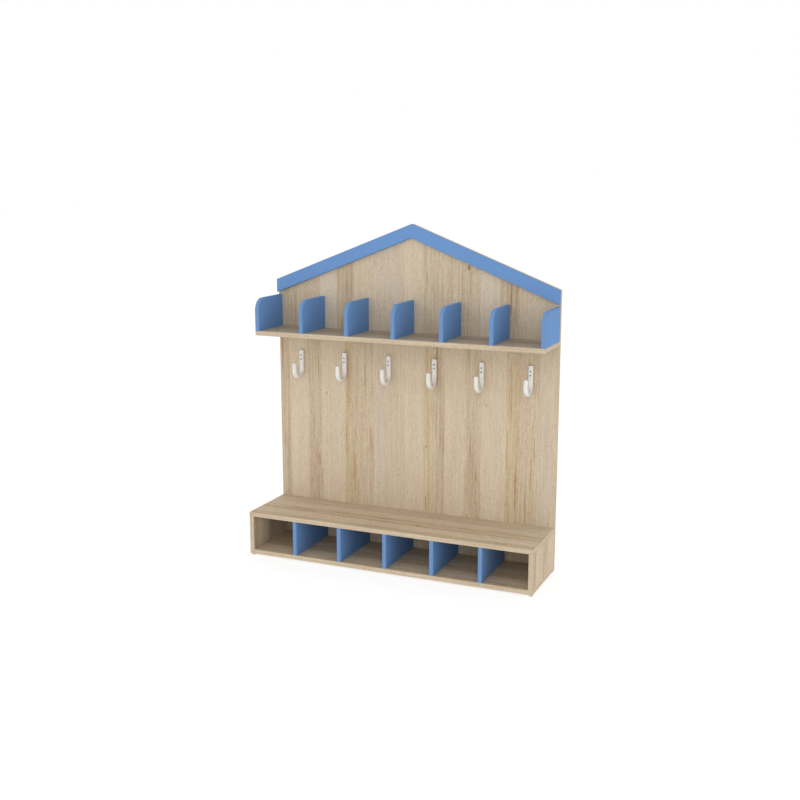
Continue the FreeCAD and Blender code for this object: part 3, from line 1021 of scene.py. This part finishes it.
@dataclass
class HatShelf:
    """The shelf with its band, and the dividers that stand on it."""

    finishes: Finishes
    dividers: int = BAYS + 1
    corner: float = 0.050
    corner_steps: int = 20

    def divider_line(self, node: str) -> Array:
        """Edge of a divider's core from the panel along its top, round the corner and down its front.

        Args:
            node: CAD node of the core.

        Returns:
            Points on the sideways plane, with the band on their right.
        """
        low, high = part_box(node)
        radius = self.corner - BAND_DEPTH
        centre = (low.y + radius, high.z - radius)
        bend = arc(centre, radius, QUARTER, 2 * QUARTER, self.corner_steps)
        return np.vstack([(high.y, high.z), bend, (low.y, low.z)])

    def build(self) -> Pieces:
        """Builds the bands and dresses the boards.

        Returns:
            The bands and the boards.
        """
        finishes = self.finishes
        # The shelf gets the darker decor, whose colour carries painted shade on its top.
        pieces = [level_band("shelf", "shelf_edge", finishes.oak_trim), *dress(finishes.shelf, "shelf")]
        for node, band_node in banded("shelf_divider", self.dividers):
            pieces.append(upright_band(band_node, self.divider_line(node), finishes.blue_trim))
            pieces += dress(finishes.blue, node)
        return pieces


@dataclass
class Bench:
    """Seat and base with the uprights between them."""

    finishes: Finishes
    dividers: int = BAYS - 1

    def upright(self, node: str, band_node: str, trim: Trim, material: Material) -> Pieces:
        """Builds the band down the front of an upright and dresses its core."""
        (_, front, low), (_, _, high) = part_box(node)
        return [
            upright_band(band_node, np.array([(front, high), (front, low)]), trim),
            *dress(material, node),
        ]

    def build(self) -> Pieces:
        """Builds the bands and dresses the boards.

        Returns:
            The bands and the boards.
        """
        finishes = self.finishes
        pieces = [level_band(f"bench_{name}", f"{name}_edge", finishes.oak_trim) for name in ("seat", "base")]
        pieces += dress(finishes.level, "bench_seat", "bench_base")
        for node in ("bench_side_left", "bench_side_right"):
            pieces += self.upright(node, f"{node}_band", finishes.oak_trim, finishes.sides)
        for node, band_node in banded("bench_divider", self.dividers):
            pieces += self.upright(node, band_node, finishes.blue_trim, finishes.blue)
        return pieces


@dataclass(frozen=True)
class Rounding:
    """Rounded end of a bar: its reach along the bar, and what it takes off the faces and the sides."""

    reach: float
    face: float
    side: float


@dataclass(frozen=True)
class BarRows:
    """Rows along a bar: their places, what is off its faces and sides there, and its edges' radius."""

    place: Array
    face: Array
    side: Array
    edge: Array


@dataclass
class CoatHook:
    """A moulded hook in its box: a bar with rounded edges, bent into a J, with countersunk screw holes."""

    low: Vector
    high: Vector
    surface: Surface = field(default_factory=Surface)
    thickness: float = 0.015
    shank: float = 0.075
    tip: float = 0.031
    edge: float = 0.0045
    full_edge: float = 0.0070
    edge_change: tuple[float, float] = (0.048, 0.085)
    top_end: Rounding = Rounding(0.003, 0.002, 0.0025)
    tip_end: Rounding = Rounding(0.0065, 0.005, 0.006)
    screw_drops: tuple[float, ...] = HOOK_SCREW_DROPS
    patch_share: float = 0.45
    seat_radius: float = 0.004
    seat_depth: float = 0.0023
    bore_radius: float = 0.0021
    flat_columns: int = 8
    edge_steps: int = 8
    change_rows: int = 8
    bend_rows: int = 48
    end_rows: int = 9

    @property
    def half(self) -> float:
        """Half the breadth of the bar."""
        return (self.high.x - self.low.x) / 2

    @property
    def bend(self) -> float:
        """Radius of the middle line round the bend."""
        return (self.high.y - self.low.y - self.thickness) / 2

    def _rows(self) -> BarRows:
        """Rows of the straight bar from its top to its tip.

        Each end is rounded by a quarter ellipse: at angle a the place is the reach times one less
        cosine a, and the loss is its whole times one less sine a. The edge's radius grows by a
        smooth step of the place. The patch round a hole has as many rows as the flat has columns.

        Returns:
            The rows.
        """
        turn = np.linspace(0, QUARTER, self.end_rows + 1)
        rise = 1 - np.cos(turn)
        loss = 1 - np.sin(turn)
        reach = np.diff(self.screw_drops)[0] * self.patch_share
        patch = np.linspace(-reach, reach, self.flat_columns + 1)
        change = np.linspace(self.edge_change[0], self.shank, self.change_rows, endpoint=False)
        bend_end = self.shank + np.pi * self.bend
        bend = np.linspace(self.shank, bend_end, self.bend_rows + 1)
        straight = np.concatenate([*(drop + patch for drop in self.screw_drops), change, bend])
        top, tip = self.top_end, self.tip_end
        last = bend_end + self.tip - tip.reach * rise[::-1]
        place = np.concatenate([top.reach * rise, straight, last])
        face = np.concatenate([top.face * loss, 0 * straight, tip.face * loss[::-1]])
        side = np.concatenate([top.side * loss, 0 * straight, tip.side * loss[::-1]])
        share = np.clip((place - self.edge_change[0]) / np.diff(self.edge_change), 0, 1)
        growth = share * share * (3 - 2 * share)
        return BarRows(place, face, side, self.edge + (self.full_edge - self.edge) * growth)

    def _bent(self, aside: Array, place: Array, out: Array) -> Array:
        """Bends the straight bar round the J: straight, a half circle about the bend's centre, straight.

        Args:
            aside: Places across the bar.
            place: Places along the bar's middle line.
            out: Heights over the middle line, towards the room on the shank.

        Returns:
            Points in space.
        """
        turn = np.clip((place - self.shank) / self.bend, 0, np.pi)
        beyond = np.maximum(place - self.shank - np.pi * self.bend, 0)
        above = np.maximum(self.shank - place, 0)
        x = (self.low.x + self.high.x) / 2 + aside
        y = (self.low.y + self.high.y) / 2 + (self.bend - out) * np.cos(turn)
        z = self.high.z - self.shank - (self.bend - out) * np.sin(turn) + above + beyond
        return join(x, y, z)

    def _add_hole(self, ring: Array, drop: float) -> None:
        """Joins a square of the front flat to the square behind it through a countersunk hole.

        Each ring is a blend of the square with a circle through the same bearings: the square, the rim,
        the foot of the cone, the bore's far end and the square again, each at its own height.

        Args:
            ring: Points of the square, across and along, ending with the first again.
            drop: Place of the hole along the bar.
        """
        centre = np.array([0.0, drop])
        bearing = (ring - centre) / np.linalg.norm(ring - centre, axis=1, keepdims=True)
        half = self.thickness / 2
        share = np.array([0, 0.5, 1, 1, 1, 0.5, 0])[:, None, None]
        radius = np.repeat([self.seat_radius, self.bore_radius], (3, 4))[:, None, None]
        out = np.array([half, half, half, half - self.seat_depth, -half, -half, -half])[:, None]
        flat = (1 - share) * ring + share * (centre + radius * bearing)
        self.surface.grid(self._bent(flat[..., 0], flat[..., 1], out), flat)

    def add_flats(self) -> None:
        """Adds the front and back flats and the holes between them."""
        rows = self._rows()
        reach = (self.half - rows.edge) * (1 - rows.side / self.half)
        flat = join(reach[:, None] * np.linspace(-1, 1, self.flat_columns + 1), rows.place[:, None])
        size = self.flat_columns + 1
        starts = [self.end_rows + 1 + size * number for number in range(len(self.screw_drops))]
        for first, drop in zip(starts, self.screw_drops):
            square = flat[first:first + size]
            ring = np.vstack([square[0], square[1:, -1], square[-1, -2::-1], square[-2::-1, 0]])
            self._add_hole(ring, drop)
        breaks = sorted([0, len(flat) - 1, *starts, *(first + size - 1 for first in starts)])
        for side in (-1, 1):
            out = side * (self.thickness / 2 - rows.face)[:, None]
            points = self._bent(flat[..., 0], flat[..., 1], out)
            for first, last in zip(breaks[::2], breaks[1::2]):
                self.surface.grid(points[first:last + 1], flat[first:last + 1])

    def add_sides(self) -> None:
        """Adds the rounded sides and the two end faces.

        A side's column at angle a lies at the corner's centre plus the edge's radius, less what is off
        the face, times cosine and sine of a; all of it narrows with what is off the side.
        """
        rows = self._rows()
        front = np.linspace(QUARTER, 0, self.edge_steps + 1)
        turn = np.concatenate([front, -front[::-1]])
        hand = np.repeat([1, -1], self.edge_steps + 1)
        edge = rows.edge[:, None]
        radius = edge - rows.face[:, None]
        aside = (self.half - edge + radius * np.cos(turn)) * (1 - rows.side / self.half)[:, None]
        out = hand * (self.thickness / 2 - edge) + radius * np.sin(turn)
        along = rows.place[:, None]
        for side in (-1, 1):
            self.surface.grid(self._bent(side * aside, along, out), join(along, out))
        spread = np.linspace(-1, 1, self.flat_columns + 1)[:, None]
        for row in (0, -1):
            across = spread * aside[row]
            self.surface.grid(self._bent(across, along[row], out[row]), join(across, out[row]))


@dataclass
class CoatHooks:
    """The row of hooks under the shelf."""

    finishes: Finishes
    count: int = BAYS

    def build(self) -> Pieces:
        """Builds and dresses each hook.

        Returns:
            The hooks.
        """
        pieces = []
        for node, name in zip(numbered("coat_hook", self.count), numbered("moulded_hook", self.count)):
            hook = CoatHook(*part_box(node))
            hook.add_flats()
            hook.add_sides()
            pieces.append(settle(hook.surface.piece(name, self.finishes.hook), "hook_plastic", node))
        return pieces


class Drive(Enum):
    """Shape of the recess in a screw's head."""

    CROSS = "cross"
    HEXAGON = "hexagon"

    def reach(self, bearing: Array, size: float, arm: float) -> Array:
        """Distance from the middle to the recess's wall in each direction.

        A hexagon's wall lies at its half-width over the cosine of the angle from the nearest flat's
        middle; a cross's at the further of its two bars' walls.

        Args:
            bearing: Directions round the head.
            size: Half-width of the hexagon or half-length of the cross.
            arm: Half-width of the cross's bars.

        Returns:
            One distance for each direction.
        """
        if self is Drive.HEXAGON:
            sixth = TURN / 6
            return size / np.cos(np.mod(bearing, sixth) - sixth / 2)
        cosine = np.maximum(np.abs(np.cos(bearing)), TINY)
        sine = np.maximum(np.abs(np.sin(bearing)), TINY)
        return np.maximum(np.minimum(size / cosine, arm / sine), np.minimum(size / sine, arm / cosine))


class Heading(Enum):
    """Which way a screw points: the rows turn its own X, Y and Z into the frame's."""

    UP = ((1, 0, 0), (0, 1, 0), (0, 0, 1))
    TO_FRONT = ((1, 0, 0), (0, 0, 1), (0, -1, 0))
    TO_WALL = ((1, 0, 0), (0, 0, -1), (0, 1, 0))


Seat = tuple[tuple[float, float, float], Heading]


@dataclass(frozen=True)
class Screw:
    """A countersunk screw with a recess in its head, a plain neck, a thread and a point."""

    head: float
    head_depth: float
    neck: float
    thread: float
    pitch: float
    tip: float
    drive: Drive
    recess: float
    recess_depth: float
    length: float = 0.030
    neck_end: float = 0.004
    recess_taper: float = 0.8
    arm_share: float = 0.3
    core_share: float = 0.72
    rows_a_pitch: int = 4
    sink: float = 0.0002
    chamfer: float = 0.0001
    columns: int = 48

    def grid(self) -> tuple[Array, Array]:
        """Points of the screw about its axis, from the middle of its recess to its point.

        Each row is a radius and a depth under the board's face. The thread's radius is the core plus a
        triangle wave of the depth over the pitch less the turn, so its ridge climbs one pitch a turn.

        Returns:
            Rows by columns of points, and their texture places.
        """
        turn = np.linspace(0, TURN, self.columns + 1)
        wall = self.drive.reach(turn, self.recess, self.arm_share * self.recess)
        floor = self.sink + self.recess_depth
        shape = [
            (0.0, floor), (self.recess_taper * wall, floor), (wall, self.sink),
            (self.head - self.chamfer, self.sink), (self.head, self.sink + self.chamfer),
            (self.neck, self.head_depth), (self.neck, self.neck_end),
        ]
        shoulder = self.length - self.tip
        rows = int(np.ceil((shoulder - self.neck_end) / self.pitch * self.rows_a_pitch))
        along = np.linspace(self.neck_end, shoulder, rows + 1)[:, None] + 0 * turn
        ridge = 1 - np.abs(2 * np.mod(along / self.pitch - turn / TURN, 1) - 1)
        thread = self.thread * (self.core_share + (1 - self.core_share) * ridge)
        radius = np.vstack([*(row + 0 * turn for row, _ in shape), thread, 0 * turn])
        depth = np.vstack([*(level + 0 * turn for _, level in shape), along, self.length + 0 * turn])
        points = join(radius * np.cos(turn), radius * np.sin(turn), depth)
        return points, join(turn * self.head, radius + depth)

    def add(self, surface: Surface, place: Sequence[float], heading: Heading) -> None:
        """Adds one screw with its head over a place in the board's face."""
        points, coords = self.grid()
        surface.grid(points @ np.array(heading.value) + np.array(place), coords)


JOINT_SCREW = Screw(
    head=0.0047, head_depth=0.003, neck=0.00345, thread=0.00245, pitch=0.003, tip=0.005,
    drive=Drive.HEXAGON, recess=0.002, recess_depth=0.0022,
)
WOOD_SCREW = Screw(
    head=0.0036, head_depth=0.0022, neck=0.00195, thread=0.00195, pitch=0.0018, tip=0.004,
    drive=Drive.CROSS, recess=0.0022, recess_depth=0.0018,
)


@dataclass
class Fixings:
    """Screws and dowels."""

    finishes: Finishes
    joint_inset: float = 0.060
    joint_bays: tuple[int, ...] = (1, BAYS // 2, BAYS // 2 + 1, BAYS)
    divider_inset: float = 0.050
    divider_drop: float = 0.050
    divider_bite: float = 0.022
    strip_inset: float = 0.060

    def _group(self, name: str, node: str, screw: Screw, seats: Sequence[Seat]) -> Piece:
        """Group of equal screws in place of a CAD node.

        Args:
            name: Name of the group.
            node: CAD node that it replaces.
            screw: The screw.
            seats: Where each one goes.

        Returns:
            The group, settled on the bench.
        """
        surface = Surface()
        for place, heading in seats:
            screw.add(surface, place, heading)
        return settle(surface.piece(name, self.finishes.steel), "steel", node)

    def joint_screws(self) -> Pieces:
        """Joint screws up through the base and in through the panel.

        Returns:
            The two groups.
        """
        low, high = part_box("base_screws")
        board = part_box("bench_base")[1].z - low.z
        screw = replace(JOINT_SCREW, length=high.z - low.z, neck_end=board)
        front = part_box("bench_seat_band")[0].y
        rows = (front + self.joint_inset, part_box("bench_seat")[1].y - self.joint_inset)
        uprights = ["bench_side_left", "bench_side_right", *numbered("bench_divider", BAYS - 1)]
        base = [((middle(node, 0), y, low.z), Heading.UP) for node in uprights for y in rows]
        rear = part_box("panel_screws")[1].y
        places = [middle(f"coat_hook_{bay}", 0) for bay in self.joint_bays]
        levels = [middle(node, 2) for node in ("bench_base", "bench_seat", "shelf")]
        panel = [((x, rear, z), Heading.TO_FRONT) for z in levels for x in places]
        return [
            self._group("joint_screws_base", "base_screws", screw, base),
            self._group("joint_screws_panel", "panel_screws", screw, panel),
        ]

    def hook_screws(self) -> Piece:
        """Two screws through each hook into the panel.

        Returns:
            The group.
        """
        low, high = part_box("hook_screws")
        seats = []
        for node in numbered("coat_hook", BAYS):
            x, top = middle(node, 0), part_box(node)[1].z
            seats += [((x, low.y, top - drop), Heading.TO_WALL) for drop in HOOK_SCREW_DROPS]
        screw = replace(WOOD_SCREW, length=high.y - low.y)
        return self._group("wood_screws_hooks", "hook_screws", screw, seats)

    def strip_screws(self) -> Piece:
        """Screws through the panel into the roof strips, half-way down their breadth.

        Returns:
            The group.
        """
        low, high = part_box("roof_strip_screws")
        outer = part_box("roof_strip_right_band")[1]
        slope = ROOF_RISE / outer.x
        top = outer.z - STRIP_BREADTH * np.hypot(1, slope) / 2
        apart = (self.strip_inset, outer.x / 2, outer.x - self.strip_inset)
        places = [(hand * x, high.y, top - x * slope) for hand in (-1, 1) for x in apart]
        seats = [(place, Heading.TO_FRONT) for place in places]
        screw = replace(WOOD_SCREW, length=high.y - low.y)
        return self._group("wood_screws_strips", "roof_strip_screws", screw, seats)

    def divider_screws(self) -> Piece:
        """Two screws up through the shelf into each divider, and one through the panel.

        Returns:
            The group.
        """
        low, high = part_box("shelf_divider_screws")
        shelf_low, shelf_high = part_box("shelf")
        rows = (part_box("shelf_band")[0].y + self.divider_inset, shelf_high.y - self.divider_inset)
        seats = []
        for node, band in banded("shelf_divider", BAYS + 1):
            x, top = middle(node, 0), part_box(band)[1].z
            seats += [((x, y, low.z), Heading.UP) for y in rows]
            seats.append(((x, high.y, top - self.divider_drop), Heading.TO_FRONT))
        screw = replace(WOOD_SCREW, length=shelf_high.z - shelf_low.z + self.divider_bite)
        return self._group("wood_screws_dividers", "shelf_divider_screws", screw, seats)

    def build(self) -> Pieces:
        """Builds the screws and dresses the dowels."""
        screws = [*self.joint_screws(), self.hook_screws(), self.strip_screws(), self.divider_screws()]
        return screws + dress(self.finishes.beech, "seat_dowels")


@dataclass
class Glides:
    """Moulded glides nailed under the corners."""

    finishes: Finishes
    foot_radius: float = 0.008
    nail: float = 0.0028
    nail_depth: float = 0.0009
    foot_edge: float = 0.0012
    stem: float = 0.0025
    rim: float = 0.0003
    columns: int = 48
    arc_steps: int = 6

    def profile(self, foot: float, top: float) -> Array:
        """Half section from the nail's recess out over the foot and up the stem.

        Args:
            foot: Height of the foot.
            top: Height of the stem's end.

        Returns:
            Radii and heights.
        """
        radius = self.foot_radius
        edge = arc((radius - self.foot_edge, self.foot_edge), self.foot_edge, -QUARTER, 0, self.arc_steps)
        recess = [(0, self.nail_depth), (self.nail - self.rim, self.nail_depth), (self.nail, 0)]
        upper = [
            (radius, foot - self.rim), (radius - self.rim, foot), (self.stem, foot),
            (self.stem, top - self.rim), (self.stem - self.rim, top), (0, top),
        ]
        return np.vstack([recess, edge, upper])

    def build(self) -> Pieces:
        """Turns each glide: radius times cosine and sine of the turn, at the profile's height.

        Returns:
            The glides, as one piece.
        """
        low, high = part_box("glides")
        radius = self.foot_radius
        profile = self.profile(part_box("bench_base")[0].z, high.z)
        turn = np.linspace(0, TURN, self.columns + 1)
        flat = profile[:, :1, None] * join(np.cos(turn), np.sin(turn))
        coords = join(turn * radius, lengths(profile)[:, None])
        surface = Surface()
        for x in (low.x + radius, high.x - radius):
            for y in (low.y + radius, high.y - radius):
                surface.grid(Plane.LEVEL.lift(flat + (x, y), profile[:, 1:]), coords)
        return [settle(surface.piece("moulded_glides", self.finishes.glide), "glide_plastic", "glides")]


# Studio


@dataclass
class Studio:
    """Pale floor, soft even light and the camera."""

    camera_place: tuple[float, float, float] = (1.6793, -3.9060, 1.5328)
    camera_target: tuple[float, float, float] = (-0.0102, 0.0320, 0.6618)
    lens: float = 50.0
    sensor: float = 36.0
    floor_reach: float = 30.0
    floor_lines: int = 5
    floor_glow: float = 0.75
    paper: tuple[Shade, Shade] = (Shade(146, 146, 146), Shade(150, 150, 150))
    fibre: Speckle = Speckle(9.0, 3, (0.02, 0.02, 0.02))
    fill_place: tuple[float, float, float] = (1.3, -4.5, 2.1)
    fill_side: float = 3.0
    fill_power: float = 33.0

    def build(self) -> None:
        """Sets up the floor, the light and the camera."""
        self._floor()
        self._light()
        self._fill()
        self._camera()

    def _floor(self) -> None:
        """Level sheet of paper-white floor: a grid at height zero."""
        reach = np.linspace(-self.floor_reach, self.floor_reach, self.floor_lines)
        x, y = np.meshgrid(reach, reach)
        surface = Surface()
        surface.grid(join(x, y, 0 * x), join(x, y))
        shader = Shader("floor_paper")
        colour = shader.blend(shader.speckle(self.fibre), *(shade.linear() for shade in self.paper))
        paper = shader.finish(
            Base_Color=colour, Roughness=0.9, Emission_Color=WHITE, Emission_Strength=self.floor_glow,
            Specular_IOR_Level=0.0,
        )
        surface.piece("studio_floor", paper)

    def _light(self) -> None:
        """Even white light from all round."""
        scene = bpy.context.scene
        world = bpy.data.worlds.new("studio")
        world.use_nodes = True
        backdrop = world.node_tree.nodes["Background"]
        backdrop.inputs["Color"].default_value = WHITE
        backdrop.inputs["Strength"].default_value = 1.0
        scene.world = world
        scene.view_settings.view_transform = "Standard"

    def _aimed(self, name: str, data: bpy.types.ID, place: Sequence[float]) -> Piece:
        """Adds an object that looks at the middle of the bench.

        Args:
            name: Name of the object.
            data: Its light or camera.
            place: Where it stands.

        Returns:
            The object.
        """
        made = bpy.data.objects.new(name, data)
        made.location = place
        towards = Vector(self.camera_target) - Vector(place)
        made.rotation_euler = towards.to_track_quat("-Z", "Y").to_euler()
        bpy.context.scene.collection.objects.link(made)
        return made

    def _fill(self) -> None:
        """Large soft light from the front, which reaches into the cubbies."""
        data = bpy.data.lights.new("fill", "AREA")
        data.size = self.fill_side
        data.energy = self.fill_power
        self._aimed("fill", data, self.fill_place)

    def _camera(self) -> None:
        """Camera at the height and angle of the product picture."""
        data = bpy.data.cameras.new("camera")
        data.lens = self.lens
        data.sensor_width = self.sensor
        bpy.context.scene.camera = self._aimed("camera", data, self.camera_place)


def main() -> None:
    """Builds the sub-assemblies in order, then the studio."""
    logging.basicConfig(level=logging.INFO, format="%(name)s: %(message)s")
    finishes = Finishes()
    assemblies = (BackPanel, RoofStrips, HatShelf, CoatHooks, Bench, Fixings, Glides)
    for assembly in assemblies:
        for piece in assembly(finishes).build():
            LOG.info("%s: %s", assembly.__name__, piece.name)
    Studio().build()


if __name__ == "__main__":
    main()
